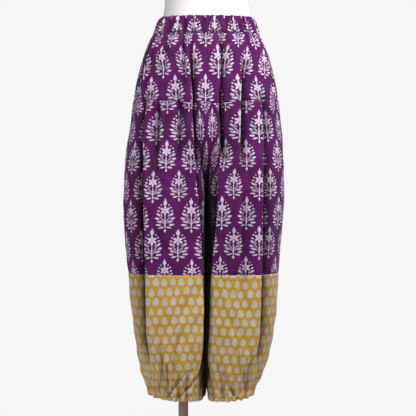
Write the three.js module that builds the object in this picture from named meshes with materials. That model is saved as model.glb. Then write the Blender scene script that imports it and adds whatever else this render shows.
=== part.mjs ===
// Balloon trousers with a gathered elastic waist, a hip yoke, pleated legs and
// deep printed borders drawn in by elastic hems, worn by a limbless dress form.
// Each piece of cloth is a thin wall sampled from one folded surface.
// Millimetres, +Z up, front towards -Y, wearer's left towards +X, origin under
// the middle of the base.
import * as THREE from 'three';

// Cloth
const WALL = 1.2;
const BAND_WALL = 2.5;
const SEAM_GAP = 0.3;
const HALF_GAP = SEAM_GAP / 2;

// Heights of the seams above the floor at the middle front, the middle back and
// the side seams
const SEAMS = {
  top: { front: 1045, back: 1050, side: 1052 },
  waist: { front: 1004, back: 1009, side: 1013 },
  yoke: { front: 839, back: 846, side: 863 },
  border: { front: 451, back: 451, side: 454 },
  casing: { front: 169, back: 172, side: 186 },
  hem: { front: 152, back: 155, side: 169 },
};
const CROTCH_START = 800;
const CROTCH = 640;

// How far the garment reaches from its middle at each height, and how far each
// inseam hangs from the middle
const OUTLINE = [
  { z: 1060, left: 107, right: 108, front: 87, back: 91, inner: 1 },
  { z: 1030, left: 117, right: 119, front: 91, back: 95, inner: 1 },
  { z: 1012, left: 123, right: 127, front: 94, back: 98, inner: 1 },
  { z: 984, left: 136, right: 141, front: 103, back: 109, inner: 1 },
  { z: 948, left: 150, right: 154, front: 112, back: 120, inner: 1 },
  { z: 894, left: 163, right: 167, front: 121, back: 130, inner: 1 },
  { z: 853, left: 168.5, right: 173.5, front: 126, back: 135, inner: 1 },
  { z: 815, left: 173, right: 178, front: 129, back: 138, inner: 3 },
  { z: 734, left: 179, right: 190, front: 133, back: 141, inner: 3 },
  { z: 616, left: 180, right: 195, front: 133, back: 140, inner: 1 },
  { z: 528, left: 173, right: 192, front: 128, back: 134, inner: 1 },
  { z: 460, left: 168, right: 185, front: 121, back: 127, inner: 1 },
  { z: 386, left: 164, right: 179, front: 114, back: 119, inner: 1 },
  { z: 332, left: 158, right: 172, front: 106, back: 111, inner: 1 },
  { z: 264, left: 147, right: 163, front: 93, back: 98, inner: 1.5 },
  { z: 223, left: 134, right: 155, front: 80, back: 84, inner: 4 },
  { z: 202, left: 125, right: 147, front: 71, back: 75, inner: 6.5 },
  { z: 185, left: 116, right: 140, front: 64, back: 67, inner: 8.5 },
  { z: 165, left: 110, right: 137, front: 60, back: 63, inner: 10 },
  { z: 145, left: 108, right: 136, front: 59, back: 62, inner: 10 },
];

// The legs all but touch at their inseams. In front and behind, their edges stand
// apart by a wedge. The gap between them bends, more above the border seam than
// below it, so that from in front next to nothing is seen through it. It opens
// only towards the hems.
const WEDGE = [
  { z: 800, left: 0, right: 0 },
  { z: 700, left: 20, right: 22 },
  { z: 640, left: 24, right: 26 },
  { z: 528, left: 14, right: 19 },
  { z: 443, left: 8, right: 13 },
  { z: 230, left: 7, right: 11 },
  { z: 160, left: 0, right: 0 },
];
const SWAY = { legs: 6.5, borders: 3.5, period: 150, spread: 28, fade: 30, change: 60 };

// Lines down the cloth that the folds follow, by their distance from the middle
const GUIDES = {
  'right front': [
    { z: 1052, inner: 34, middle: 62, side: 85 },
    { z: 948, inner: 43, middle: 74, side: 121 },
    { z: 845, inner: 40, middle: 71, side: 140 },
    { z: 706, inner: 29, middle: 71, side: 141 },
    { z: 600, inner: 23, middle: 73, side: 140 },
    { z: 460, inner: 15.5, middle: 76, side: 137 },
    { z: 262, inner: 14, middle: 74, side: 132 },
    { z: 150, inner: 24, middle: 70, side: 112 },
  ],
  'left front': [
    { z: 1052, inner: 29, middle: 64, side: 87 },
    { z: 948, inner: 25, middle: 77, side: 113 },
    { z: 845, inner: 24, middle: 75, side: 124 },
    { z: 706, inner: 28, middle: 72, side: 124 },
    { z: 600, inner: 22, middle: 70, side: 123 },
    { z: 460, inner: 11, middle: 68, side: 121 },
    { z: 262, inner: 10, middle: 62, side: 113 },
    { z: 150, inner: 18, middle: 53, side: 88 },
  ],
  'right back': [
    { z: 1052, inner: 32, middle: 62, side: 88 },
    { z: 948, inner: 42, middle: 82, side: 124 },
    { z: 845, inner: 42, middle: 84, side: 136 },
    { z: 706, inner: 36, middle: 88, side: 146 },
    { z: 600, inner: 26, middle: 90, side: 150 },
    { z: 460, inner: 18, middle: 86, side: 142 },
    { z: 262, inner: 16, middle: 80, side: 130 },
    { z: 150, inner: 26, middle: 72, side: 114 },
  ],
  'left back': [
    { z: 1052, inner: 30, middle: 60, side: 86 },
    { z: 948, inner: 36, middle: 76, side: 118 },
    { z: 845, inner: 36, middle: 80, side: 128 },
    { z: 706, inner: 32, middle: 80, side: 134 },
    { z: 600, inner: 24, middle: 78, side: 134 },
    { z: 460, inner: 16, middle: 74, side: 128 },
    { z: 262, inner: 14, middle: 66, side: 114 },
    { z: 150, inner: 22, middle: 54, side: 88 },
  ],
};

// Folds: a ridge on its guide, moved sideways by offset, and a valley beside it,
// towards the side seam where valley is 1 and towards the middle where it is -1.
// A fold grows from nothing at top to its depth at full, keeps it down to hold
// and has gone at bottom. Lean carries the ridge over its valley.
const FOLD_COLUMNS = [
  'cloth', 'guide', 'offset', 'top', 'full', 'hold', 'bottom', 'depth', 'width', 'lean', 'valley',
];
const FOLDS = [
  ['right front', 'inner',    0,   985,  900,  830,  722,  14,  10,  4.2,  -1],
  ['right front', 'middle',   0,   862,  835,  760,  690,   7,   8,  1.8,  -1],
  ['right front', 'middle',  32,   862,  825,  740,  630,   6,  11,    0,   1],
  ['right front', 'side',     0,   880,  780,  320,  215,  13,  11,    4,   1],
  ['right front', 'side',    26,  1012,  955,  890,  868,   7,   7,  2.4,   1],
  ['left front',  'inner',    0,  1030,  915,  760,  690,  13,   9,  3.6,   1],
  ['left front',  'inner',    0,   730,  640,  560,  420,   9,  10,    3,  -1],
  ['left front',  'middle',   0,  1000,  860,  770,  640,  11,   9,    3,   1],
  ['left front',  'side',     0,   880,  820,  320,  215,  13,  11,    4,   1],
  ['left front',  'side',    46,  1012,  965,  905,  875,   6,   7,  2.4,   1],
  ['right back',  'inner',    0,   985,  860,  640,  460,  11,   9,  2.4,   1],
  ['right back',  'middle',   0,   875,  820,  560,  380,  10,  10,  2.4,   1],
  ['right back',  'side',     0,   875,  800,  330,  220,  12,  10,    3,   1],
  ['left back',   'inner',    0,   970,  850,  800,  690,  10,   9,  2.4,  -1],
  ['left back',   'middle',   0,   875,  810,  600,  420,  11,  10,    3,   1],
  ['left back',   'side',     0,   875,  790,  340,  225,  12,  10,    3,   1],
].map((row) => Object.fromEntries(FOLD_COLUMNS.map((column, k) => [column, row[k]])));

// Gathers: waves in each quarter of the waist or each half of a leg, how high
// they stand, and how far from their seam they run into the cloth
const WAIST_GATHERS = { waves: 7, height: 1.9, start: 0, run: 60 };
const PLEAT_GATHERS = { waves: 6, height: 2.4, start: 5, run: 90 };
const HEM_GATHERS = { waves: 9, height: 2.6, start: 0, run: 85 };
const BULGE = { band: 1.2, casing: 1.2 };

// Pieces of the garment, from the lower to the upper seam, with the heights of
// their cross rows at the middle and the number of columns
const PIECES = [
  {
    name: 'waistband', lower: 'waist', upper: 'top', rows: [1026],
    columns: 57, wall: BAND_WALL, colour: 'plum', wide: true,
  },
  {
    name: 'yoke', lower: 'yoke', upper: 'waist', rows: [870, 905, 940, 972, 991],
    columns: 22, wall: WALL, colour: 'plum',
  },
  {
    name: 'leg', lower: 'border', upper: 'yoke', rows: [490, 540, 590, CROTCH, 668, 705, 750, 795, 822],
    columns: 31, wall: WALL, colour: 'plum',
  },
  {
    name: 'border', lower: 'casing', upper: 'border', rows: [178, 192, 212, 245, 300, 375],
    columns: 31, wall: WALL, colour: 'mustard',
  },
  {
    name: 'casing', lower: 'hem', upper: 'casing', rows: [160],
    columns: 35, wall: WALL, colour: 'mustard',
  },
];

// The dress form
const FORM_SIDES = 32;
const FORM = [
  { z: 748, half: 136, front: 82, back: 92 },
  { z: 762, half: 147, front: 92, back: 103 },
  { z: 800, half: 152, front: 98, back: 110 },
  { z: 853, half: 152, front: 100, back: 112 },
  { z: 894, half: 147, front: 99, back: 110 },
  { z: 948, half: 137, front: 95, back: 104 },
  { z: 984, half: 126, front: 90, back: 96 },
  { z: 1012, half: 117, front: 87, back: 91 },
  { z: 1030, half: 111, front: 85, back: 89 },
  { z: 1060, half: 103.3, front: 81.3, back: 85.3 },
  { z: 1090, half: 99.5, front: 79, back: 82 },
  { z: 1130, half: 103, front: 82, back: 84 },
  { z: 1190, half: 119, front: 96, back: 90 },
  { z: 1250, half: 134, front: 110, back: 95 },
  { z: 1310, half: 143, front: 108, back: 98 },
  { z: 1370, half: 151, front: 92, back: 94 },
  { z: 1404, half: 149, front: 76, back: 84 },
  { z: 1428, half: 120, front: 62, back: 70 },
  { z: 1448, half: 78, front: 52, back: 58 },
  { z: 1468, half: 56, front: 47, back: 51 },
  { z: 1512, half: 50, front: 46, back: 48 },
];
const NECK_CAP = { half: 47, depth: 44, height: 14, edge: 3 };
const POLE = { x: -56, radius: 11.5, sides: 24 };
const BASE = { radius: 170, height: 24, edge: 5, bevel: 1, lip: 2, sides: 40 };
const FLANGE = { radius: 32, height: 8, sides: 24 };
const FIT = 0.3;

// Colours of the finishes
const COLOURS = {
  plum: 0x5c2260, mustard: 0xb8932f, white: 0xefedea, wood: 0x9c7a66, steel: 0x8f8f92,
};

const clamp01 = (value) => Math.min(1, Math.max(0, value));
const mix = (a, b, share) => a + (b - a) * share;
const bell = (value) => Math.exp(-value * value);

// 0 at a and 1 at b, level at both ends
function ease(a, b, value) {
  const t = clamp01((value - a) / (b - a));
  return t * t * (3 - 2 * t);
}

// Value of a column of a table of heights, on a smooth curve through its rows
function columnAt(table, column, z) {
  const last = table.length - 1;
  const high = table[0];
  const low = table[last];
  if (z >= high.z) return high[column];
  if (z <= low.z) return low[column];
  let i = 0;
  while (table[i + 1].z > z) i += 1;
  const slope = (k) => {
    const above = table[Math.max(0, k - 1)];
    const below = table[Math.min(last, k + 1)];
    return (above[column] - below[column]) / (above.z - below.z);
  };
  const a = table[i + 1];
  const b = table[i];
  const span = b.z - a.z;
  const t = (z - a.z) / span;
  const rise = t * t * (3 - 2 * t);
  const startSlope = t * (1 - t) * (1 - t) * span * slope(i + 1);
  const endSlope = t * t * (t - 1) * span * slope(i);
  return mix(a[column], b[column], rise) + startSlope + endSlope;
}

// Plain section of one quarter of the garment at a height: half of a leg, or a
// quarter of the hip ring above it. It runs from the middle seam or inseam to the
// side seam, x sideways and y forwards or backwards, with the length along it.
const SECTION_STEPS = 120;
const sections = new Map();

// Between these heights the hip ring closes into two legs, fuller on the way
const CLOSING = { from: 860, to: 610, fullness: 0.26 };
// Part of a section that lies under the crotch, the curve of the crotch seam, and
// how far below the crotch the inseam reaches its own distance from the middle
const UNDER = { share: 0.035, curve: 2.4, run: 45 };
// Shares of a section over which it is drawn to the middle seam, sideways and in
// depth, and over which the crotch seam's depth fades
const DRAWN = { across: 0.06, hip: 0.42, crotch: 0.1, from: 770, fadeFrom: 0.04, fadeTo: 0.2 };
// How square a section is: a low power is square, and 1 is a plain round
const SQUARE = { inseam: 0.2, side: 0.6, until: 0.6, hem: 0.9, hip: 0.9 };
const HEM_ROUND = { from: 330, to: 150 };
const WEDGE_FALL = { depth: 3, across: 5 };
function sectionAt(side, face, z) {
  const key = `${side} ${face} ${z.toFixed(2)}`;
  if (sections.has(key)) return sections.get(key);
  const reach = columnAt(OUTLINE, side, z);
  const closed = ease(CLOSING.from, CLOSING.to, z);
  const depth = columnAt(OUTLINE, face, z) * (1 + CLOSING.fullness * closed * (1 - closed));
  const inner = columnAt(OUTLINE, 'inner', z);
  const below = ease(CROTCH, CROTCH - UNDER.run, z);
  const under = UNDER.share * closed * (1 - below);
  const drop = clamp01((CROTCH_START - z) / (CROTCH_START - CROTCH));
  const startX = mix(HALF_GAP, inner, below);
  const middleY = Math.max(HALF_GAP, depth * (1 - drop ** UNDER.curve));
  const roundness = ease(HEM_ROUND.from, HEM_ROUND.to, z);
  const wedge = columnAt(WEDGE, side, z);
  const drawnDepth = mix(DRAWN.hip, DRAWN.crotch, ease(DRAWN.from, CROTCH, z));
  const points = [];
  for (let k = 0; k <= SECTION_STEPS; k += 1) {
    const t = k / SECTION_STEPS;
    const turn = Math.PI * clamp01((t - under) / (1 - under));
    const pullX = Math.max(0, 1 - t / DRAWN.across) ** 2;
    const pullY = Math.max(0, 1 - t / drawnDepth) ** 2;
    const legPower = mix(SQUARE.inseam, SQUARE.side, ease(0, SQUARE.until, t));
    const power = mix(legPower, SQUARE.hem, roundness);
    const ringX = reach * Math.sin(Math.PI * t / 2);
    const ringY = depth * Math.cos(Math.PI * t / 2) ** SQUARE.hip;
    const share = Math.max(0, Math.sin(turn)) ** power;
    const spread = wedge * share ** WEDGE_FALL.depth * (1 - t) ** WEDGE_FALL.across;
    const legX = inner + (reach - inner) * (1 - Math.cos(turn)) / 2 + spread;
    const legY = depth * share;
    const x = mix(ringX, legX, closed) + (startX - closed * inner) * pullX;
    const y = mix(mix(ringY, legY, closed), middleY, pullY);
    const floor = Math.max(HALF_GAP, middleY * (1 - ease(DRAWN.fadeFrom, DRAWN.fadeTo, t)));
    points.push({ x, y: Math.max(floor, y) });
  }
  const arc = [0];
  for (let k = 1; k <= SECTION_STEPS; k += 1) {
    const step = Math.hypot(points[k].x - points[k - 1].x, points[k].y - points[k - 1].y);
    arc.push(arc[k - 1] + step);
  }
  const section = { points, arc, length: arc[SECTION_STEPS] };
  section.stations = stationsOf(section, `${side} ${face}`, z);
  sections.set(key, section);
  return section;
}

// Point of a section at a length along it
function plainPoint(section, length) {
  let k = 1;
  while (k < SECTION_STEPS && section.arc[k] < length) k += 1;
  const share = (length - section.arc[k - 1]) / (section.arc[k] - section.arc[k - 1]);
  const a = section.points[k - 1];
  const b = section.points[k];
  return { x: mix(a.x, b.x, share), y: mix(a.y, b.y, share) };
}

// Lengths along a section of the middle seam, the three guides and the side seam
const GUIDE_NAMES = ['inner', 'middle', 'side'];
function stationsOf(section, cloth, z) {
  const lengths = GUIDE_NAMES.map((name) => {
    const distance = columnAt(GUIDES[cloth], name, z);
    let k = 1;
    while (k < SECTION_STEPS && section.points[k].x < distance) k += 1;
    const a = section.points[k - 1].x;
    const b = section.points[k].x;
    return mix(section.arc[k - 1], section.arc[k], clamp01((distance - a) / (b - a)));
  });
  return [0, ...lengths, section.length];
}

// Profile of a fold in widths of the fold: its ridge, its valley, and how its
// lean carries the ridge along and draws the far side of the valley back
const RIDGE = { height: 0.3, at: -0.3, spread: 1.1 };
const VALLEY = { at: 1.35, spread: 0.95 };
const CARRY = { spread: 1.2, back: 0.3, backAt: 1.9, backSpread: 0.9 };

// How far the folds carry the cloth out and along its section
function foldShift(cloth, stations, length, z) {
  let out = 0;
  let along = 0;
  for (const fold of FOLDS) {
    if (fold.cloth !== cloth || z > fold.top || z < fold.bottom) continue;
    const strength = ease(fold.top, fold.full, z) * ease(fold.bottom, fold.hold, z);
    const line = stations[1 + GUIDE_NAMES.indexOf(fold.guide)] + fold.offset;
    const d = (length - line) * fold.valley / fold.width;
    const ridge = RIDGE.height * bell((d - RIDGE.at) / RIDGE.spread);
    const valley = bell((d - VALLEY.at) / VALLEY.spread);
    const back = CARRY.back * bell((d - CARRY.backAt) / CARRY.backSpread);
    out += strength * fold.depth * (ridge - valley);
    along += strength * fold.lean * fold.valley * (bell(d / CARRY.spread) - back);
  }
  return { out, along };
}

// Gathers are uneven: they shift to and fro and change in height along a seam,
// by a different amount on each cloth
const WANDER = { 'left front': 0.9, 'right front': -0.7, 'left back': -1.1, 'right back': 0.6 };
const UNEVEN = { shift: 0.28, shiftTurn: 9, height: 0.3, heightTurn: 13, wanderTurn: 5 };

// Height of the gathers at a cloth coordinate, at a distance from their seam
function gatherHeight(cloth, c, gathers, distance) {
  const nearSeam = gathers.start > 0 ? ease(0, gathers.start, distance) : 1;
  const strength = nearSeam * (1 - ease(0, gathers.run, distance));
  const share = c / 4;
  const inside = Math.sin(Math.PI * share);
  const wander = WANDER[cloth];
  const shift = UNEVEN.shift * wander * inside * Math.sin(UNEVEN.shiftTurn * share);
  const turns = gathers.waves * share + shift;
  const change = Math.sin(UNEVEN.heightTurn * share + UNEVEN.wanderTurn * wander);
  const uneven = 1 + UNEVEN.height * inside * change;
  return gathers.height * strength * uneven * Math.cos(2 * Math.PI * turns);
}

// Height of a seam at a cloth coordinate from 0 at the middle to 4 at the side
const seamHeight = (seam, face, c) => mix(SEAMS[seam][face], SEAMS[seam].side, (c / 4) ** 2);

// Folds lie flat beside the middle seam or inseam and beside the side seam. The
// cloth's direction at a point is taken over a short reach to either side.
const SEAM_FADE = { middle: 14, side: 12 };
const TANGENT_REACH = 1.2;

// Outer point of the folded cloth. The coordinate q runs from -4 at the right
// side seam over 0 at the middle to 4 at the left side seam.
function clothPoint(piece, face, q, z) {
  const side = (q < 0 || piece.side === 'right') ? 'right' : 'left';
  const cloth = `${side} ${face}`;
  const c = Math.abs(q);
  const section = sectionAt(side, face, z);
  const i = Math.min(3, Math.floor(c));
  const length = mix(section.stations[i], section.stations[i + 1], c - i);
  const a = plainPoint(section, Math.max(0, length - TANGENT_REACH));
  const b = plainPoint(section, Math.min(section.length, length + TANGENT_REACH));
  const size = Math.hypot(b.x - a.x, b.y - a.y);
  const tangent = { x: (b.x - a.x) / size, y: (b.y - a.y) / size };
  const point = plainPoint(section, length);
  const inside = ease(0, SEAM_FADE.middle, length) * ease(0, SEAM_FADE.side, section.length - length);
  const fold = foldShift(cloth, section.stations, length, z);
  const lower = seamHeight(piece.lower, face, c);
  const upper = seamHeight(piece.upper, face, c);
  const waistDrop = Math.max(0, seamHeight('waist', face, c) - z);
  const hemRise = Math.max(0, z - seamHeight('casing', face, c));
  const waves = z > CROTCH_START
    ? gatherHeight(cloth, c, WAIST_GATHERS, waistDrop)
    : inside * gatherHeight(cloth, c, HEM_GATHERS, hemRise);
  let out = inside * fold.out + waves;
  if (piece.name === 'leg') out += inside * gatherHeight(cloth, c, PLEAT_GATHERS, upper - z);
  const across = Math.sin(Math.PI * clamp01((z - lower) / (upper - lower)));
  if (piece.name === 'waistband') out += BULGE.band * across;
  if (piece.name === 'casing') out += BULGE.casing * across;
  let x = point.x - tangent.y * out + tangent.x * inside * fold.along;
  let y = point.y + tangent.x * out + tangent.y * inside * fold.along;
  if (c === 0) x = piece.wide ? 0 : point.x;
  if (c === 4 || (c === 0 && z <= CROTCH)) y = HALF_GAP;
  if (c > 0) x = Math.max(x, HALF_GAP);
  y = Math.max(y, HALF_GAP);
  return new THREE.Vector3(side === 'left' ? x : -x, face === 'front' ? -y : y, z);
}

// Bends the gap between the legs to and fro, together with the cloth beside it
function sway(point) {
  const near = ease(CROTCH, CROTCH - SWAY.fade, point.z) * Math.exp(-Math.abs(point.x) / SWAY.spread);
  const seam = SEAMS.border.side;
  const reach = mix(SWAY.borders, SWAY.legs, ease(seam, seam + SWAY.change, point.z));
  point.x += reach * near * Math.sin(2 * Math.PI * point.y / SWAY.period);
  return point;
}

// Height of the cloth on a row, which is a share of the way from seam to seam
function rowHeight(piece, face, q, share) {
  const c = Math.abs(q);
  const lower = seamHeight(piece.lower, face, c) + (piece.lower === 'hem' ? 0 : HALF_GAP);
  const upper = seamHeight(piece.upper, face, c) - (piece.upper === 'top' ? 0 : HALF_GAP);
  return mix(lower, upper, share);
}

// Steps between the points that give the cloth's normal, and how much longer than
// the wall's thickness the move at a seam may be
const NORMAL_STEP = { q: 0.012, z: 2 };
const MITRE = { longest: 2.2, shallowest: 0.1 };

// Move from an outer point to the inner side of the wall. At an edge it stays in
// the plane of the seam, and is longer there so that the wall keeps its thickness.
function wallOffset(piece, face, q, z, endRow) {
  const low = piece.range[0];
  const high = piece.range[1];
  const alongQ = clothPoint(piece, face, Math.min(high, q + NORMAL_STEP.q), z)
    .sub(clothPoint(piece, face, Math.max(low, q - NORMAL_STEP.q), z));
  const alongZ = clothPoint(piece, face, q, z + NORMAL_STEP.z)
    .sub(clothPoint(piece, face, q, z - NORMAL_STEP.z));
  const atMiddle = q === 0 && !piece.wide;
  if (atMiddle && z > CROTCH) alongQ.set(1, 0, 0);
  const normal = alongQ.cross(alongZ).normalize().multiplyScalar(face === 'front' ? 1 : -1);
  if (atMiddle && z === CROTCH) normal.set(0, 0, -1);
  if (endRow) normal.z = 0;
  if (Math.abs(q) === 4 || (atMiddle && z < CROTCH)) normal.y = 0;
  const stretch = 1 / Math.max(MITRE.shallowest, normal.length());
  return normal.normalize().multiplyScalar(-Math.min(MITRE.longest, stretch) * piece.wall);
}

// A leg has one column right beside its middle seam, for the turn of the crotch
const BESIDE_SEAM = 0.034;
const COLUMN_SAMPLES = 240;
const LEAST_ERROR = 0.004;

// Columns that keep a piece of cloth closest to its surface: the seams first,
// then always the place that lies farthest from the cloth sampled so far
function chooseColumns(piece, face, shares) {
  const samples = COLUMN_SAMPLES;
  const [from, to] = piece.range;
  const positions = Array.from({ length: samples + 1 }, (unused, k) => mix(from, to, k / samples));
  positions.splice(samples, 1, to);
  const rows = shares.map((share) => positions.map(
    (q) => clothPoint(piece, face, q, rowHeight(piece, face, q, share)),
  ));
  const line = new THREE.Line3();
  const nearest = new THREE.Vector3();
  const worstBetween = (a, b) => {
    const worst = { at: Math.round((a + b) / 2), error: LEAST_ERROR * (b - a) };
    for (const row of rows) {
      line.set(row[a], row[b]);
      for (let k = a + 1; k < b; k += 1) {
        line.closestPointToPoint(row[k], true, nearest);
        const error = nearest.distanceTo(row[k]);
        if (error > worst.error) Object.assign(worst, { at: k, error });
      }
    }
    return worst;
  };
  const middle = Math.round(samples * (0 - from) / (to - from));
  const chosen = piece.wide ? [0, middle, samples] : [0, samples];
  const beside = Math.round(samples * BESIDE_SEAM / 4);
  if (piece.name === 'leg') chosen.splice(1, 0, piece.side === 'left' ? beside : samples - beside);
  while (chosen.length < piece.columns) {
    let best = { error: 0 };
    for (let i = 0; i < chosen.length - 1; i += 1) {
      if (chosen[i + 1] - chosen[i] < 2) continue;
      const worst = worstBetween(chosen[i], chosen[i + 1]);
      if (worst.error > best.error) best = worst;
    }
    chosen.push(best.at);
    chosen.sort((a, b) => a - b);
  }
  return chosen.map((k) => (k === middle && piece.wide ? 0 : positions[k]));
}

function solid(name, positions, triangles, material) {
  const geometry = new THREE.BufferGeometry();
  geometry.setAttribute('position', new THREE.Float32BufferAttribute(positions, 3));
  geometry.setIndex(triangles);
  geometry.computeVertexNormals();
  const mesh = new THREE.Mesh(geometry, material);
  mesh.name = name;
  return mesh;
}

// One piece of cloth as a closed wall: an outer and an inner grid and four edges
function clothWall(name, piece, face, material) {
  const lower = SEAMS[piece.lower][face];
  const upper = SEAMS[piece.upper][face];
  const start = rowHeight(piece, face, 0, 0);
  const end = rowHeight(piece, face, 0, 1);
  const inner = piece.rows.filter((z) => z > lower && z < upper);
  const shares = [0, ...inner.map((z) => (z - start) / (end - start)), 1];
  const columns = chooseColumns(piece, face, shares);
  const positions = [];
  for (const layer of ['outer', 'inner']) {
    shares.forEach((share, r) => {
      for (const q of columns) {
        const z = rowHeight(piece, face, q, share);
        const point = clothPoint(piece, face, q, z);
        const endRow = r === 0 || r === shares.length - 1;
        if (layer === 'inner') point.add(wallOffset(piece, face, q, z, endRow));
        positions.push(...sway(point).toArray());
      }
    });
  }
  const wide = columns.length;
  const tall = shares.length;
  const layerSize = wide * tall;
  const at = (layer, r, k) => layer * layerSize + r * wide + k;
  const triangles = [];
  const quad = (a, b, c, d) => {
    const corners = face === 'front' ? [a, b, c, a, c, d] : [a, c, b, a, d, c];
    triangles.push(...corners);
  };
  for (let r = 0; r < tall - 1; r += 1) {
    for (let k = 0; k < wide - 1; k += 1) {
      quad(at(0, r, k), at(0, r, k + 1), at(0, r + 1, k + 1), at(0, r + 1, k));
      quad(at(1, r, k), at(1, r + 1, k), at(1, r + 1, k + 1), at(1, r, k + 1));
    }
    quad(at(0, r, 0), at(0, r + 1, 0), at(1, r + 1, 0), at(1, r, 0));
    quad(at(0, r, wide - 1), at(1, r, wide - 1), at(1, r + 1, wide - 1), at(0, r + 1, wide - 1));
  }
  for (let k = 0; k < wide - 1; k += 1) {
    quad(at(0, 0, k), at(1, 0, k), at(1, 0, k + 1), at(0, 0, k + 1));
    quad(at(0, tall - 1, k), at(0, tall - 1, k + 1), at(1, tall - 1, k + 1), at(1, tall - 1, k));
  }
  return solid(name, positions, triangles, material);
}

// A closed solid through level rings, each with a height, a half width and the
// depths in front and behind
function loft(name, rings, sides, material, centreX = 0) {
  const positions = [];
  for (const ring of rings) {
    for (let k = 0; k < sides; k += 1) {
      const turn = 2 * Math.PI * k / sides;
      const depth = Math.sin(turn) < 0 ? ring.front : ring.back;
      positions.push(centreX + ring.half * Math.cos(turn), depth * Math.sin(turn), ring.z);
    }
  }
  const triangles = [];
  for (let r = 0; r < rings.length - 1; r += 1) {
    for (let k = 0; k < sides; k += 1) {
      const a = r * sides + k;
      const b = r * sides + (k + 1) % sides;
      triangles.push(a, b, b + sides, a, b + sides, a + sides);
    }
  }
  const top = (rings.length - 1) * sides;
  for (let k = 1; k < sides - 1; k += 1) {
    triangles.push(0, k + 1, k);
    triangles.push(top, top + k, top + k + 1);
  }
  return solid(name, positions, triangles, material);
}

const roundRing = (z, radius) => ({ z, half: radius, front: radius, back: radius });

const group = new THREE.Group();
const finish = (colour, roughness, metalness = 0) => new THREE.MeshStandardMaterial({
  color: COLOURS[colour], roughness, metalness,
});

// Garment
for (const piece of PIECES) {
  for (const face of ['front', 'back']) {
    const halves = piece.wide ? [''] : ['left', 'right'];
    for (const side of halves) {
      const range = { '': [-4, 4], left: [0, 4], right: [-4, 0] }[side];
      const name = [piece.name, face, side].filter(Boolean).join('_');
      group.add(clothWall(name, { ...piece, side, range }, face, finish(piece.colour, 0.9)));
    }
  }
}

// Torso, its neck cap, and the pole, flange and base that carry it
group.add(loft('form_torso', FORM, FORM_SIDES, finish('white', 0.6)));
const neckTop = FORM[FORM.length - 1].z + FIT;
const capRing = (rise, inset) => ({
  z: neckTop + rise,
  half: NECK_CAP.half - inset,
  front: NECK_CAP.depth - inset,
  back: NECK_CAP.depth - inset,
});
group.add(loft('form_neck_cap', [
  capRing(0, 0),
  capRing(NECK_CAP.height - NECK_CAP.edge, 0),
  capRing(NECK_CAP.height, NECK_CAP.edge),
], FORM_SIDES, finish('wood', 0.45)));
const flangeTop = FORM[0].z - FIT;
const flangeBottom = flangeTop - FLANGE.height;
group.add(loft('form_flange', [
  roundRing(flangeBottom, FLANGE.radius),
  roundRing(flangeTop, FLANGE.radius),
], FLANGE.sides, finish('steel', 0.4, 0.8), POLE.x));
group.add(loft('form_pole', [
  roundRing(BASE.height + FIT, POLE.radius),
  roundRing(flangeBottom - FIT, POLE.radius),
], POLE.sides, finish('wood', 0.5), POLE.x));
group.add(loft('form_base', [
  roundRing(0, BASE.radius - BASE.bevel),
  roundRing(BASE.bevel, BASE.radius),
  roundRing(BASE.height - BASE.edge, BASE.radius),
  roundRing(BASE.height - BASE.bevel, BASE.radius - BASE.edge + BASE.bevel),
  roundRing(BASE.height, BASE.radius - BASE.edge - BASE.lip),
], BASE.sides, finish('wood', 0.5)));

export default group;
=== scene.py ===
# %% [markdown]
# # Balloon trousers on a dress form
# The solids of the part are already in place. This lesson dresses them: each
# piece of cloth is drawn again as a fine folded sheet, the form, its pole and
# its base get smooth shapes, and every surface gets a material of its own.

# %% Open the frame
import math

import bpy
import numpy as np
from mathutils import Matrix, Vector


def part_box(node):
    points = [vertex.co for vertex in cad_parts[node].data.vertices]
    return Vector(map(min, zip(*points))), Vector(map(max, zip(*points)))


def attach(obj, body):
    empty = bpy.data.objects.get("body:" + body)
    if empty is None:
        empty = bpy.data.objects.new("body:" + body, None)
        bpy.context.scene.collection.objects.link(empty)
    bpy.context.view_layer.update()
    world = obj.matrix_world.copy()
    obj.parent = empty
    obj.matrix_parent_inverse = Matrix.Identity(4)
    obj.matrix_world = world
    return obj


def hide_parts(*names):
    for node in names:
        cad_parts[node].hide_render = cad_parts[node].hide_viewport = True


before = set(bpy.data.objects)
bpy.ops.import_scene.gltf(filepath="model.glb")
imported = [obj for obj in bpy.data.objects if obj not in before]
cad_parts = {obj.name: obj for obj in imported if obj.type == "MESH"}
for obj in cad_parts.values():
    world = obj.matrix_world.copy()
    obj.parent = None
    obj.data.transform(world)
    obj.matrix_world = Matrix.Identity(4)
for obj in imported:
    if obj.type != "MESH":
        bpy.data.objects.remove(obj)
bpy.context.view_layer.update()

print("nodes in the frame:", len(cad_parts))

# %% [markdown]
# ## Camera
# The picture looks squarely at the front, and its middle is just below the crotch.
# How far away the photograph was taken can't be told, so two and a half metres is
# a guess. The lens is as long as the picture's width asks at that distance.

# %% Camera
VIEW_DISTANCE = 2.5
VIEW_WIDTH = 0.985
VIEW_CENTRE = (0.0024, 0.604)
SENSOR_WIDTH = 36.0

camera = bpy.data.cameras.new("front_camera")
camera.sensor_fit = "HORIZONTAL"
camera.sensor_width = SENSOR_WIDTH
camera.lens = camera.sensor_width * VIEW_DISTANCE / VIEW_WIDTH
camera_object = bpy.data.objects.new("front_camera", camera)
bpy.context.scene.collection.objects.link(camera_object)
camera_object.location = (VIEW_CENTRE[0], -VIEW_DISTANCE, VIEW_CENTRE[1])
camera_object.rotation_euler = (math.pi / 2, 0.0, 0.0)
bpy.context.scene.camera = camera_object
bpy.context.scene.view_settings.view_transform = "Standard"
print("lens", round(camera.lens, 1), "mm")

# %% [markdown]
# ## The folded surface
# The garment hangs as one surface, and its pieces are parts of it. At each
# height a plain section runs from the middle seam, or from the inseam lower
# down, round to the side seam. Folds, pleats and gathers then move its points.
# The tables are the garment's sizes in millimetres. They are the solids' own,
# so the sheets lie on the solids, except for the inner distance and the sway. The
# cloth hangs closer together between the legs than the solids' walls do.

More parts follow.
